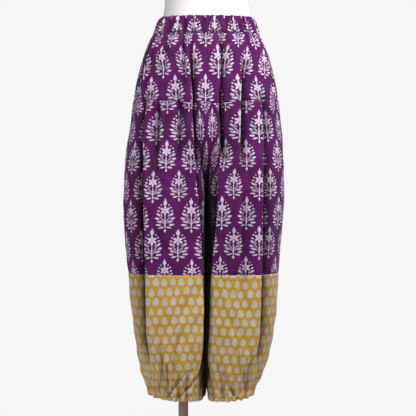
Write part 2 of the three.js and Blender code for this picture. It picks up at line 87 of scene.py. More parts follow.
# %% Sizes of the garment
SEAMS = {seam: dict(zip(("front", "back", "side"), row)) for seam, row in {
    "top": (1045, 1050, 1052), "waist": (1004, 1009, 1013), "yoke": (839, 846, 863),
    "border": (451, 451, 454), "casing": (169, 172, 186), "hem": (152, 155, 169),
}.items()}
CROTCH_START, CROTCH = 800, 640
OUTLINE_COLUMNS = ("z", "left", "right", "front", "back", "inner")
OUTLINE = [
    (1060, 107, 108, 87, 91, 1), (1030, 117, 119, 91, 95, 1), (1012, 123, 127, 94, 98, 1),
    (984, 136, 141, 103, 109, 1), (948, 150, 154, 112, 120, 1), (894, 163, 167, 121, 130, 1),
    (853, 168.5, 173.5, 126, 135, 1), (815, 173, 178, 129, 138, 3), (734, 179, 190, 133, 141, 3),
    (616, 180, 195, 133, 140, 0.4), (528, 173, 192, 128, 134, 1), (460, 168, 185, 121, 127, 1),
    (386, 164, 179, 114, 119, 1), (332, 158, 172, 106, 111, 1), (264, 147, 163, 93, 98, 1),
    (223, 134, 155, 80, 84, 1.5), (202, 125, 147, 71, 75, 2.5), (185, 116, 140, 64, 67, 5),
    (165, 110, 137, 60, 63, 8), (145, 108, 136, 59, 62, 10),
]
WEDGE_COLUMNS = ("z", "left", "right")
WEDGE = [
    (800, 0, 0), (700, 20, 22), (640, 24, 26), (528, 14, 19), (443, 8, 13), (230, 7, 11),
    (160, 0, 0),
]
SWAY = {"reach": 6.5, "period": 150, "spread": 28, "fade": 15}
GUIDES = {
    "right front": [
        (1052, 34, 62, 85), (948, 43, 74, 121), (845, 40, 71, 140), (706, 29, 71, 141),
        (600, 23, 73, 140), (460, 15.5, 76, 137), (262, 14, 74, 132), (150, 24, 70, 112),
    ],
    "left front": [
        (1052, 29, 64, 87), (948, 25, 77, 113), (845, 24, 75, 124), (706, 28, 72, 124),
        (600, 22, 70, 123), (460, 11, 68, 121), (262, 10, 62, 113), (150, 18, 53, 88),
    ],
    "right back": [
        (1052, 32, 62, 88), (948, 42, 82, 124), (845, 42, 84, 136), (706, 36, 88, 146),
        (600, 26, 90, 150), (460, 18, 86, 142), (262, 16, 80, 130), (150, 26, 72, 114),
    ],
    "left back": [
        (1052, 30, 60, 86), (948, 36, 76, 118), (845, 36, 80, 128), (706, 32, 80, 134),
        (600, 24, 78, 134), (460, 16, 74, 128), (262, 14, 66, 114), (150, 22, 54, 88),
    ],
}
print("the garment is", SEAMS["top"]["side"] - SEAMS["hem"]["side"], "mm long at its side seams")

# %% [markdown]
# A fold is a ridge with a valley beside it. On the real trousers it hangs from a
# pleat or a gather in the seam above. Each row places one by a line down the
# cloth, and says where it starts, is fullest, eases and ends. A cloth simulation
# could make folds, but can't be told to put each where the photograph has it. So
# the front's are placed from the photograph. The back's are guessed.

# %% Folds and gathers
# Guide line, distance from it, heights of its start, full depth, easing and end,
# depth, width, how far it leans over, and the side its valley is on
FOLD_ROWS = {
    "right front": [
        (1, 0, 985, 900, 830, 722, 14, 10, 4.2, -1), (2, 0, 862, 835, 760, 690, 7, 8, 1.8, -1),
        (2, 32, 862, 825, 740, 630, 6, 11, 0, 1), (3, 0, 880, 780, 320, 215, 13, 11, 4, 1),
        (3, 26, 1012, 955, 890, 868, 7, 7, 2.4, 1),
    ],
    "left front": [
        (1, 0, 1030, 915, 760, 690, 13, 9, 3.6, 1), (1, 0, 730, 640, 560, 420, 9, 10, 3, -1),
        (2, 0, 1000, 860, 770, 640, 11, 9, 3, 1), (3, 0, 880, 820, 320, 215, 13, 11, 4, 1),
        (3, 46, 1012, 965, 905, 875, 6, 7, 2.4, 1),
    ],
    "right back": [
        (1, 0, 985, 860, 640, 460, 11, 9, 2.4, 1), (2, 0, 875, 820, 560, 380, 10, 10, 2.4, 1),
        (3, 0, 875, 800, 330, 220, 12, 10, 3, 1),
    ],
    "left back": [
        (1, 0, 970, 850, 800, 690, 10, 9, 2.4, -1), (2, 0, 875, 810, 600, 420, 11, 10, 3, 1),
        (3, 0, 875, 790, 340, 225, 12, 10, 3, 1),
    ],
}
# Folds that only the cloth shows, above, on and below the big ones
SOFT_FOLD_ROWS = {
    "right front": [
        (1, 0, 830, 735, 270, 170, 12, 8, 3.4, -1), (1, 1, 1000, 930, 860, 800, 5, 8, 2, -1),
        (2, -22, 1003, 960, 900, 850, 4, 7, 1.2, 1),
    ],
    "left front": [
        (1, 0, 1020, 985, 900, 860, 4, 7, 2, 1), (1, -5, 560, 450, 270, 180, 8, 8, 2.4, -1),
        (2, 2, 660, 600, 470, 380, 4, 10, 1.4, 1),
    ],
    "right back": [
        (2, -26, 1008, 950, 880, 800, 5, 8, 1.2, 1),
    ],
    "left back": [
        (2, -20, 1008, 950, 880, 800, 5, 8, 1.2, -1),
    ],
}
FOLDS = {cloth: FOLD_ROWS[cloth] + SOFT_FOLD_ROWS[cloth] for cloth in GUIDES}
WAIST_GATHERS = {"waves": 7, "height": 1.9, "start": 0, "run": 60}
PLEAT_GATHERS = {"waves": 6, "height": 2.4, "start": 5, "run": 90}
HEM_GATHERS = {"waves": 9, "height": 2.6, "start": 0, "run": 85}
WANDER = {"left front": 0.9, "right front": -0.7, "left back": -1.1, "right back": 0.6}
print("folds:", {cloth: len(rows) for cloth, rows in FOLDS.items()})

# %% [markdown]
# ## Small helpers
# A garment has no hard steps, so every change along it is eased. Tables of sizes
# are read on a smooth curve, as a cutter draws one through a few marks.


# %% Small helpers
TINY, SHORT = 1e-9, 1e-6


def mix(a, b, share):
    return a + (b - a) * share


def ease(a, b, value):
    """0 at a and 1 at b, level at both ends."""
    t = np.clip((np.asarray(value, float) - a) / (b - a), 0, 1)
    return t * t * (3 - 2 * t)


def bell(value):
    return np.exp(-np.square(value))


def running(steps, axis):
    """Length up to each point, from the steps between them."""
    return np.insert(np.cumsum(steps, axis=axis), 0, 0, axis=axis)


def column(table, k, z):
    """Column k of a table of falling heights, on a smooth curve through its rows."""
    rows = np.array(table, float)[::-1]
    heights, values = rows[:, 0], rows[:, k]
    last = len(heights) - 1
    i = np.clip(np.searchsorted(heights, z) - 1, 0, last - 1)
    low, high = np.maximum(np.arange(last + 1) - 1, 0), np.minimum(np.arange(last + 1) + 1, last)
    slope = (values[high] - values[low]) / (heights[high] - heights[low])
    span = heights[i + 1] - heights[i]
    t = np.clip((z - heights[i]) / span, 0, 1)
    smooth = mix(values[i], values[i + 1], t * t * (3 - 2 * t))
    return smooth + t * (1 - t) ** 2 * span * slope[i] + t * t * (t - 1) * span * slope[i + 1]


print("an easing at half way:", float(ease(0, 1, 0.5)))

# %% [markdown]
# ## Sections
# For every point of a sheet the plain section at its height is worked out, with
# its length. Points are then found by their length along it, as a cutter would
# measure along the cloth.

# %% Plain sections
STEPS = 120
# Between these heights the hip ring closes into two legs, fuller on the way
CLOSING = {"start": 860, "end": 610, "fullness": 0.26}
# Part of a section that lies under the crotch, the curve of the crotch seam, and
# how far below the crotch the inseam reaches its own distance from the middle
UNDER = {"share": 0.035, "curve": 2.4, "run": 45}
# Shares of a section over which it is drawn to the middle seam, sideways and in
# depth, and over which the crotch seam's depth fades
DRAWN = {"across": 0.06, "hip": 0.42, "crotch": 0.1, "start": 770, "fade": (0.04, 0.2)}
# How square a section is: a low power is square, and 1 is a plain round
SQUARE = {"inseam": 0.2, "side": 0.6, "until": 0.6, "hem": 0.9, "hip": 0.9}
HEM_ROUND = (330, 150)
# How fast the wedge between the legs narrows away from its mouth
WEDGE_FALL = {"depth": 3, "mouth": 14, "across": 5}
# The leg's edge stands back further at the very front and back of the gap
MOUTH_WIDER = {"left": 7, "right": 13}


def sections(side, face, z):
    """Points of the plain section at each height, and the length along it."""
    reach, depth, inner = (
        column(OUTLINE, OUTLINE_COLUMNS.index(name), z)[:, None] for name in (side, face, "inner")
    )
    wedge = column(WEDGE, WEDGE_COLUMNS.index(side), z)[:, None]
    closed = ease(CLOSING["start"], CLOSING["end"], z)[:, None]
    depth = depth * (1 + CLOSING["fullness"] * closed * (1 - closed))
    below = ease(CROTCH, CROTCH - UNDER["run"], z)[:, None]
    under = UNDER["share"] * closed * (1 - below)
    drop = np.clip((CROTCH_START - z) / (CROTCH_START - CROTCH), 0, 1)[:, None]
    middle_y = depth * (1 - drop ** UNDER["curve"])
    roundness = ease(*HEM_ROUND, z)[:, None]
    drawn = mix(DRAWN["hip"], DRAWN["crotch"], ease(DRAWN["start"], CROTCH, z))[:, None]
    t = np.linspace(0, 1, STEPS + 1)[None, :]
    turn = np.pi * np.clip((t - under) / (1 - under), 0, 1)
    pull_x = np.maximum(0, 1 - t / DRAWN["across"]) ** 2
    pull_y = np.maximum(0, 1 - t / drawn) ** 2
    leg_power = mix(SQUARE["inseam"], SQUARE["side"], ease(0, SQUARE["until"], t))
    power = mix(leg_power, SQUARE["hem"], roundness)
    ring_x = reach * np.sin(np.pi * t / 2)
    ring_y = depth * np.maximum(0, np.cos(np.pi * t / 2)) ** SQUARE["hip"]
    share = np.maximum(0, np.sin(turn)) ** power
    spread = wedge * share ** WEDGE_FALL["depth"]
    spread = spread + MOUTH_WIDER[side] * closed * share ** WEDGE_FALL["mouth"]
    leg_x = inner + (reach - inner) * (1 - np.cos(turn)) / 2 + spread * (1 - t) ** WEDGE_FALL["across"]
    x = mix(ring_x, leg_x, closed) + (inner * below - closed * inner) * pull_x
    y = mix(mix(ring_y, depth * share, closed), middle_y, pull_y)
    y = np.maximum(np.maximum(0, middle_y * (1 - ease(*DRAWN["fade"], t))), y)
    steps = np.hypot(np.diff(x, axis=1), np.diff(y, axis=1))
    return x, y, running(steps, 1)


def at_length(x, y, arc, length):
    """Point of each section at a length along it."""
    k = np.clip((arc < length[:, None]).sum(axis=1), 1, STEPS)
    rows = np.arange(len(length))
    a, b = arc[rows, k - 1], arc[rows, k]
    share = np.clip((length - a) / np.maximum(b - a, TINY), 0, 1)
    return mix(x[rows, k - 1], x[rows, k], share), mix(y[rows, k - 1], y[rows, k], share)


def guide_lengths(cloth, x, arc, z):
    """Lengths of the middle seam, the three guides and the side seam."""
    rows = np.arange(len(z))
    found = [np.zeros(len(z))]
    for k in (1, 2, 3):
        distance = column(GUIDES[cloth], k, z)
        i = np.clip((x < distance[:, None]).argmin(axis=1), 1, STEPS)
        a, b = x[rows, i - 1], x[rows, i]
        share = np.clip((distance - a) / np.maximum(b - a, TINY), 0, 1)
        found.append(mix(arc[rows, i - 1], arc[rows, i], share))
    return np.stack(found + [arc[:, -1]], axis=1)


ABOVE_THE_BORDER = 500.0
leg_arc = sections("left", "front", np.array([ABOVE_THE_BORDER]))[2]
print("the left leg's front is", round(float(leg_arc[0, -1])), "mm wide above the border")

# %% [markdown]
# ## Creases that only cloth shows
# The solids carry the big folds. Between them a printed cotton also has short
# creases, pulled up from the hem elastic and hanging from the pleats, and a
# faint crumple. They could be sculpted, but numbers are easier to move. Each short
# crease is placed one by one, from one point of the cloth to another. The front's
# follow the photograph, and the back's are guessed.


# %% Fine creases
# Distance from the middle and height of both ends, depth and width
CREASE_ROWS = {
    "right front": [
        (117, 1008, 143, 872, 4, 2.6), (53, 1062, 52, 1006, 3.2, 4), (84, 1062, 88, 1008, 2.4, 4),
        (52, 222, 96, 160, 3.4, 4.4), (100, 262, 112, 176, 4.2, 4.4), (76, 236, 80, 170, 2.6, 3.6),
        (17, 214, 71, 160, 4.5, 5), (30, 236, 58, 182, 2.6, 5), (92, 246, 90, 196, 4, 3.4),
        (108, 300, 99, 190, 2.6, 5), (60, 330, 82, 226, 1.8, 8), (118, 560, 84, 500, 1.8, 9),
        (40, 700, 66, 560, 1.6, 9), (55, 1004, 50, 945, 2.4, 4), (20, 1004, 17, 930, 2, 6),
        (92, 1006, 98, 905, 2.2, 6), (92, 845, 96, 745, 2.6, 6), (112, 848, 118, 720, 2.2, 7),
    ],
    "left front": [
        (126, 1004, 142, 940, 4, 2.6), (4, 1062, 5, 1008, 2.6, 4), (45, 1062, 46, 1004, 3, 4),
        (84, 1062, 88, 1006, 3.4, 4), (34, 232, 60, 172, 3, 4.2), (96, 250, 90, 180, 3.6, 4),
        (56, 186, 74, 154, 4, 4), (87, 236, 86, 176, 4.4, 3.4), (24, 250, 40, 166, 2.4, 5),
        (100, 268, 92, 186, 2.6, 5), (68, 300, 76, 214, 1.8, 7), (60, 620, 44, 470, 1.6, 10),
        (96, 720, 104, 560, 2, 8), (52, 846, 50, 745, 3.2, 6), (100, 850, 103, 770, 2.4, 6),
        (48, 1004, 50, 935, 2.2, 5), (100, 1006, 108, 930, 2.4, 6),
    ],
    "right back": [
        (40, 1062, 41, 1006, 3, 4), (24, 240, 70, 168, 4, 5), (96, 262, 92, 186, 3.8, 4),
        (60, 640, 48, 480, 2, 9), (112, 846, 116, 730, 2.6, 7), (22, 1004, 20, 920, 2.4, 6),
    ],
    "left back": [
        (30, 1062, 31, 1006, 3.2, 4), (80, 1062, 83, 1006, 2.8, 4), (22, 252, 56, 170, 4, 5),
        (84, 250, 82, 180, 3.8, 4), (50, 660, 62, 500, 2, 9), (104, 848, 108, 735, 2.6, 7),
        (52, 1004, 48, 915, 2.4, 6),
    ],
}
CRUMPLE_SEED, CRUMPLE_WAVES = 7, 14
# Lengths and lean of the waves, and how slowly each comes and goes down the cloth
CRUMPLE_LENGTH, CRUMPLE_LEAN, CRUMPLE_SLOW, CRUMPLE_FLAT = (22, 75), 0.75, (60, 150), 130
# Where a crease fades in and out along its run, and the low rim beside it
CREASE = {"start": (-0.15, 0.2), "end": (1.12, 0.8), "rim": 0.5, "rim_place": 1.6, "rim_width": 0.9}
# Painted shade along a crease: the depth that gives it in full, and how much narrower it is than the
# crease
CREASE_SHADE = {"full_depth": 4, "narrower": 2.0}
# Soft cloth folds deeper than a thick wall can, and its folds lean over further
FOLD_DEEPER, FOLD_LEANS, FOLD_WIDTH = 1.4, 2.2, 0.85
RIDGE_SHARE, RIDGE_PLACE, RIDGE_WIDTH = 0.34, -0.3, 1.1
VALLEY_PLACE, VALLEY_STEEP, VALLEY_SLOW = 1.3, 0.8, 1.05
# The line of a fold moves back by most of what it leans over
LEAN_BACK = 0.9
CARRY_WIDTH, CARRY_BACK, BACK_PLACE, BACK_WIDTH = 1.2, 0.3, 1.9, 0.9
# Painted shade under a fold: where it starts and is full, how far it stays full, how fast it fades, and
# the fold depth that gives it in full
SHADE_FROM, SHADE_FULL_TO, SHADE_FADE, SHADE_DEPTH = (0.4, 0.75), 2.0, 1.2, 12
# How much shade is painted on the print under a fold, in a crease, in a gather and in
# the gap between the legs. Real folds are deeper than these and cast that shade alone.
FOLD_DARK, CREASE_DARK, GATHER_DARK, GAP_DARK = 0.94, 0.6, 0.04, 0.93
GATHER_DEEPER = 1.5
FINE_GATHERS = ((11, 1.1, 0.3), (17, 0.9, 2.1), (26, 0.6, 4.0))
FINE_RUN = 75
HEM_LIFT, WAIST_LIFT = 0.9, 0.25
SEAM_DIP = {"depth": 1.3, "width": 2.6}
CASING_TOP = 200
PUFF = {"waistband": 1.6, "casing": 0.8}
CRUMPLE = {"legs": 0.7, "border": 1.25}


def crease_depth(cloth, x, z):
    """How far the creases push the cloth in, and how much shade is painted along them."""
    total, dark = np.zeros_like(x), np.zeros_like(x)
    for x1, z1, x2, z2, depth, width in CREASE_ROWS[cloth]:
        dx, dz = x2 - x1, z2 - z1
        run = math.hypot(dx, dz)
        along = ((x - x1) * dx + (z - z1) * dz) / run ** 2
        aside = ((x - x1) * dz - (z - z1) * dx) / run / width
        fade = ease(*CREASE["start"], along) * ease(*CREASE["end"], along)
        rim = CREASE["rim"] * bell((aside - CREASE["rim_place"]) / CREASE["rim_width"])
        total += fade * depth * (bell(aside) - rim)
        strength = fade * min(1, depth / CREASE_SHADE["full_depth"])
        # Painted shade along the crease's line
        dark = np.maximum(dark, strength * bell(CREASE_SHADE["narrower"] * aside))
    return total, dark


def crumple(cloth, length, z):
    """Faint, mostly upright waves that cross each other."""
    chance = np.random.RandomState(CRUMPLE_SEED + sorted(GUIDES).index(cloth))
    total = np.zeros_like(length)
    for k in range(CRUMPLE_WAVES):
        wave = chance.uniform(*CRUMPLE_LENGTH)
        lean = chance.uniform(-CRUMPLE_LEAN, CRUMPLE_LEAN)
        phase = chance.uniform(0, 2 * np.pi)
        slow = np.sin(z / chance.uniform(*CRUMPLE_SLOW) + chance.uniform(0, 6))
        total += wave / CRUMPLE_FLAT * slow * np.sin(2 * np.pi * (length + lean * z) / wave + phase)
    return total


print(sum(len(rows) for rows in CREASE_ROWS.values()), "short creases")


# %% [markdown]
# ## From the section to the cloth
# A sheet's point is taken out of its plain section by the folds, gathers,
# creases and crumples. Beside most seams it dips a little, as stitched cloth does,
# so the pieces meet in a groove. Each point also gets an amount of painted shade,
# which darkens the prints later.


# %% Folded cloth
# Gathers are never even: their spacing and their height wander along the seam
UNEVEN = {"slide": 0.28, "slide_turns": 9, "height": 0.3, "height_turns": 13, "height_start": 5}
# Cloth on either side of a point that gives its direction
HALF_STEP = 1.2
# Lengths beside the middle and the side seam over which folds fade out
SEAM_FADE = {"middle": 14, "side": 12}
# The gap between the legs: where its painted shade starts and is full, sideways and by height
BETWEEN = {"across": (17, 7), "height": (700, 600)}
# Most shade painted into the hollow of a gather
GATHER_DARKEST = 0.5
# Towards the gap between the legs the crumple fades out, to keep the gap narrow
SMOOTH_BESIDE_GAP = {"below": 720, "across": (6, 26)}
BORDER_CRUMPLED = (440, 300)
HEM_EDGE, WAIST_EDGE = (190, 150), (1030, 1052)


def gather_height(cloth, c, gathers, distance):
    near = ease(0, gathers["start"], distance) if gathers["start"] else 1
    strength = near * (1 - ease(0, gathers["run"], distance))
    share = c / 4
    inside = np.sin(np.pi * share)
    wander = WANDER[cloth]
    slide = UNEVEN["slide"] * wander * inside * np.sin(UNEVEN["slide_turns"] * share)
    turns = gathers["waves"] * share + slide
    wave = np.sin(UNEVEN["height_turns"] * share + UNEVEN["height_start"] * wander)
    uneven = 1 + UNEVEN["height"] * inside * wave
    return gathers["height"] * strength * uneven * np.cos(2 * np.pi * turns)


def fold_shift(cloth, stations, length, z):
    """How far the folds move points out and along, and how much shade is painted under them."""
    out, along, dark = np.zeros_like(z), np.zeros_like(z), np.zeros_like(z)
    for guide, offset, top, full, hold, bottom, depth, width, lean, valley in FOLDS[cloth]:
        strength = ease(top, full, z) * ease(bottom, hold, z)
        line = stations[:, guide] + offset - LEAN_BACK * FOLD_LEANS * lean * valley
        d = (length - line) * valley / (FOLD_WIDTH * width)
        slope = np.where(d < VALLEY_PLACE, VALLEY_STEEP, VALLEY_SLOW)
        ridge = RIDGE_SHARE * bell((d - RIDGE_PLACE) / RIDGE_WIDTH)
        out += strength * FOLD_DEEPER * depth * (ridge - bell((d - VALLEY_PLACE) / slope))
        carry = bell(d / CARRY_WIDTH) - CARRY_BACK * bell((d - BACK_PLACE) / BACK_WIDTH)
        along += strength * FOLD_LEANS * lean * valley * carry
        # Painted shade under the fold: from beside the ridge, full across the valley, fading past it
        under = ease(*SHADE_FROM, d) * np.exp(-np.maximum(0, d - SHADE_FULL_TO) / SHADE_FADE)
        dark = np.maximum(dark, strength * min(1, depth / SHADE_DEPTH) * under)
    return out, along, dark


def fine_gathers(cloth, c, distance):
    """Small uneven puckers right beside an elastic or a pleated seam."""
    wander = WANDER[cloth]
    strength = 1 - ease(0, FINE_RUN, distance)
    total = np.zeros_like(c)
    for waves, height, start in FINE_GATHERS:
        slide = 0.9 * np.sin(2.1 * c + 3 * wander + start)
        total += height * np.cos(2 * np.pi * waves * c / 4 + start * wander + slide)
    return strength * total


def seam_height(seam, face, c):
    return mix(SEAMS[seam][face], SEAMS[seam]["side"], (c / 4) ** 2)


def cloth_points(piece, side, face, c, z):
    """Points of one half of a piece, in metres, and how much shade is painted on its print there."""
    cloth = f"{side} {face}"
    x, y, arc = sections(side, face, z)
    stations = guide_lengths(cloth, x, arc, z)
    rows = np.arange(len(z))
    i = np.minimum(3, np.floor(c)).astype(int)
    length = mix(stations[rows, i], stations[rows, i + 1], c - i)
    ax, ay = at_length(x, y, arc, np.maximum(0, length - HALF_STEP))
    bx, by = at_length(x, y, arc, np.minimum(arc[:, -1], length + HALF_STEP))
    px, py = at_length(x, y, arc, length)
    size = np.maximum(np.hypot(bx - ax, by - ay), SHORT)
    tx, ty = (bx - ax) / size, (by - ay) / size
    inside = ease(0, SEAM_FADE["middle"], length) * ease(0, SEAM_FADE["side"], arc[:, -1] - length)
    fold_out, along, dark = fold_shift(cloth, stations, length, z)
    lower, upper = seam_height(piece["lower"], face, c), seam_height(piece["upper"], face, c)
    waist_drop = np.maximum(0, seam_height("waist", face, c) - z)
    hem_rise = np.maximum(0, z - seam_height("casing", face, c))
    waist = gather_height(cloth, c, WAIST_GATHERS, waist_drop)
    hem = gather_height(cloth, c, HEM_GATHERS, hem_rise)
    gathered = GATHER_DEEPER * np.where(z > CROTCH_START, waist, inside * hem)
    if piece["name"] == "leg":
        gathered = gathered + inside * gather_height(cloth, c, PLEAT_GATHERS, upper - z)
    out = inside * fold_out + gathered
    ends = np.sin(np.pi * c / 4) ** 0.5
    nearest_elastic = np.where(z > CROTCH_START, waist_drop, hem_rise)
    fine = fine_gathers(cloth, c, nearest_elastic)
    out += ends * inside * fine
    # Painted shade under the folds, in the gap between the legs and in the hollows of gathers; creases
    # add theirs below
    between = ease(*BETWEEN["across"], px) * ease(*BETWEEN["height"], z)
    shade = 1 - (1 - FOLD_DARK * dark) * (1 - GAP_DARK * between)
    gather_shade = np.clip(-GATHER_DARK * (gathered + fine), 0, GATHER_DARKEST)
    shade = 1 - (1 - shade) * (1 - gather_shade)
    across = np.clip((z - lower) / (upper - lower), 0, 1)
    if piece["name"] in PUFF:
        out += PUFF[piece["name"]] * np.sin(np.pi * across)
    else:
        smooth = np.where(z < SMOOTH_BESIDE_GAP["below"], ease(*SMOOTH_BESIDE_GAP["across"], px), 1)
        strength = smooth * mix(CRUMPLE["legs"], CRUMPLE["border"], ease(*BORDER_CRUMPLED, z))
        out += inside * strength * crumple(cloth, length, z)
    pushed, painted_crease_shade = crease_depth(cloth, px, z)
    out -= inside * pushed
    # Painted shade along the creases
    shade = 1 - (1 - shade) * (1 - CREASE_DARK * painted_crease_shade)
    nearest = np.minimum(z - lower, upper - z)
    dip = np.where(z < CASING_TOP, 0, SEAM_DIP["depth"])
    out -= dip * bell(nearest / SEAM_DIP["width"])
    edge = HEM_LIFT * ease(*HEM_EDGE, z) + WAIST_LIFT * ease(*WAIST_EDGE, z)
    lift = ends * fine_gathers(cloth, c, 0) * edge
    fx = px - ty * out + tx * inside * along
    fy = py + tx * out + ty * inside * along
    fx = np.where(c == 0, np.where(z > CROTCH, 0, px), np.maximum(fx, 0))
    fy = np.where((c == 4) | ((c == 0) & (z <= CROTCH)), 0, np.maximum(fy, 0))
    fx = fx if side == "left" else -fx
    fy = -fy if face == "front" else fy
    near = ease(CROTCH, CROTCH - SWAY["fade"], z) * np.exp(-np.abs(fx) / SWAY["spread"])
    fx = fx + SWAY["reach"] * near * np.sin(2 * np.pi * fy / SWAY["period"])
    return np.stack([fx, fy, z + lift], axis=1) / 1000, shade


# %% [markdown]
# ## Sheets
# Each sheet is a grid, as woven cloth is: its columns run down along the warp and
# its rows across along the weft. The map of the print lies on the same grid, and
# counts motifs and their rows from a line that the print is centred on.

# %% Sheet pieces
PIECE_COLUMNS = ("name", "lower", "upper", "columns", "rows", "slot")
PIECES = [dict(zip(PIECE_COLUMNS, row)) for row in [
    ("waistband", "waist", "top", 120, 14, "plum_print"),
    ("yoke", "yoke", "waist", 90, 64, "plum_print"),
    ("leg", "border", "yoke", 140, 150, "plum_print"),
    ("border", "casing", "border", 140, 100, "mustard_print"),
    ("casing", "hem", "casing", 120, 9, "mustard_print"),
]]
CLOTH_THICKNESS = 0.0006
# Where the print starts on each cloth: the distance of a motif from the centre
# line, its height, and the spacing of its rows
PRINT_PITCH = 58.5
PRINT_START = {
    "waistband": (24, 1010, 67.5),
    "yoke": (-3, 867, 70.5),
    "right leg": (21, 720, 67.2),
    "left leg": (18, 725, 66.4),
}
LEAF_PITCH, LEAF_ROW = 20.0, 22.3
# Woven cloth never hangs quite true, so the print drifts in slow waves
GRAIN_DRIFT = {"plum_print": 1.0, "mustard_print": 2.4}
DRIFT_DOWN, DRIFT_ACROSS = 61, 43
# How far the print keeps to straight threads where the cloth widens and narrows
STRAIGHT_GRAIN = 0.6
# The casing holds more cloth than shows, so its print is drawn closer
CASING_FULLER = 1.25


def column_places(piece, side, face):
    """Cloth coordinates of the columns, evenly spread along the cloth."""
    middle = np.array([(SEAMS[piece["lower"]][face] + SEAMS[piece["upper"]][face]) / 2.0])
    x, y, arc = sections(side, face, middle)
    stations = guide_lengths(f"{side} {face}", x, arc, middle)[0]
    lengths = np.linspace(0, stations[-1], piece["columns"] + 1)
    return np.interp(lengths, stations, np.arange(5))


def half_grid(piece, side, face):
    """Grid of points of one half, from the middle to the side seam."""
    c = column_places(piece, side, face)
    share = np.linspace(0, 1, piece["rows"] + 1)
    lower, upper = seam_height(piece["lower"], face, c), seam_height(piece["upper"], face, c)
    z = mix(lower[None, :], upper[None, :], share[:, None])
    rows = [cloth_points(piece, side, face, c, row) for row in z]
    return c, np.stack([row[0] for row in rows]), np.stack([row[1] for row in rows])


def cloth_lengths(points, zero):
    """Length along each row, measured from one column."""
    steps = np.linalg.norm(np.diff(points, axis=1), axis=2)
    arc = running(steps, 1)
    return arc - arc[:, zero:zero + 1]


def print_map(piece, side, c, points):
    """Place of every point on the printed cloth, in motifs across and rows up."""
    name = piece["name"]
    zero = 0 if name in ("waistband", "yoke") else int(np.abs(c - 2).argmin())
    sign = 1 if side == "left" else -1
    across = cloth_lengths(points, zero) * 1000
    straight = np.broadcast_to(across[len(across) // 2], across.shape)
    across = mix(across, straight, STRAIGHT_GRAIN)
    climb = np.linalg.norm(np.diff(points[:, zero], axis=0), axis=1) * 1000
    height = points[0, zero, 2] * 1000 + running(climb, 0)
    up = height[:, None] + (points[:, :, 2] - points[:, zero:zero + 1, 2]) * 1000
    drift = GRAIN_DRIFT[piece["slot"]]
    start_wave = np.sin(up[:, zero:zero + 1] / DRIFT_DOWN + 2 * sign)
    across = across + drift * (np.sin(up / DRIFT_DOWN + 2 * sign) - start_wave)
    up = up + drift * np.sin(across / DRIFT_ACROSS + sign)
    if name in ("border", "casing"):
        full = across[-1] if name == "border" else across[-1] * CASING_FULLER
        across = across * full[None, :] / np.where(np.abs(across) < SHORT, 1, across)
        return sign * across / LEAF_PITCH, up / LEAF_ROW
    start, level, spacing = PRINT_START.get(name) or PRINT_START[f"{side} leg"]
    if name == "leg":
        return (across - start) / PRINT_PITCH, (up - level) / spacing
    return (sign * across - start) / PRINT_PITCH, (up - level) / spacing


yoke_grid = half_grid(PIECES[1], "left", "front")[1]
print("yoke grid", yoke_grid.shape, "widest", round(float(yoke_grid[:, :, 0].max()), 3), "m")

# %% [markdown]
# ## From grids to cloth
# A maker cuts each piece flat and sews it to the one above. Here each grid becomes
# a mesh with the print's map and a second map that the stitches follow, and gets
# a thin wall, towards the body. Its flat size is measured along the folded sheet,
# so it is the cut of what shows.


# %% Build a sheet
def sewing_map(points, zero):
    """Length along the cloth and distance from its nearer long seam, in mm."""
    rows, columns = points.shape[:2]
    along = np.broadcast_to(cloth_lengths(points, zero)[rows // 2] * 1000, (rows, columns))
    climb = np.linalg.norm(np.diff(points, axis=0), axis=2) * 1000
    up = running(climb, 0)
    return along, np.minimum(up, up[-1:] - up)


def grid_object(name, points, u, v, shade):
    """A grid of points as a mesh whose faces look out, with its maps and painted shade."""
    tall, wide = points.shape[:2]
    index = np.arange(tall * wide).reshape(tall, wide)
    corners = [index[:-1, :-1], index[:-1, 1:], index[1:, 1:], index[1:, :-1]]
    quads = np.stack(corners, axis=2).reshape(-1, 4)
    mesh = bpy.data.meshes.new(name)
    mesh.from_pydata(points.reshape(-1, 3).tolist(), [], quads.tolist())
    for name, place in (("print", (u, v)), ("sewing", sewing_map(points, 0))):
        layer = mesh.uv_layers.new(name=name)
        corners = np.stack(place, axis=2).reshape(-1, 2)[quads.reshape(-1)]
        layer.data.foreach_set("uv", corners.reshape(-1))
    mesh.uv_layers["print"].active_render = True
    # Each point keeps its painted shade, which darkens its print
    mesh.attributes.new("fold_shade", "FLOAT", "POINT").data.foreach_set("value", shade.reshape(-1))
    mesh.polygons.foreach_set("use_smooth", [True] * len(quads))
    made = bpy.data.objects.new(mesh.name, mesh)
    bpy.context.scene.collection.objects.link(made)
    return made


def only(made):
    bpy.ops.object.select_all(action="DESELECT")
    made.select_set(True)
    bpy.context.view_layer.objects.active = made


def change(made, kind, **settings):
    """Gives an object a modifier and applies it."""
    only(made)
    modifier = made.modifiers.new(kind.lower(), kind)
    for name, value in settings.items():
        setattr(modifier, name, value)
    bpy.ops.object.modifier_apply(modifier=modifier.name)


def make_sheet(piece, face, sides):
    """One piece of cloth, from the right to the left side as the wearer has them."""
    parts = []
    for side in sides:
        c, points, shade = half_grid(piece, side, face)
        grids = (points, *print_map(piece, side, c, points), shade)
        parts.append([grid[:, ::-1] for grid in grids] if side == "right" else grids)
    if len(parts) == 2:
        parts[1] = [grid[:, 1:] for grid in parts[1]]
    order = -1 if face == "back" else 1
    grids = [np.concatenate(halves, axis=1)[:, ::order] for halves in zip(*parts)]
    node = "_".join([piece["name"], face] + (list(sides) if len(sides) == 1 else []))
    cloth, points = grid_object(f"cloth_{node}", *grids), grids[0]
    width = float(cloth_lengths(points, 0)[:, -1].max())
    length = float(np.linalg.norm(np.diff(points, axis=0), axis=2).sum(axis=0).max())
    area = sum(polygon.area for polygon in cloth.data.polygons)
    change(cloth, "SOLIDIFY", thickness=CLOTH_THICKNESS, offset=-1)
    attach(cloth, "root")
    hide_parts(node)
    return cloth, width, length, area


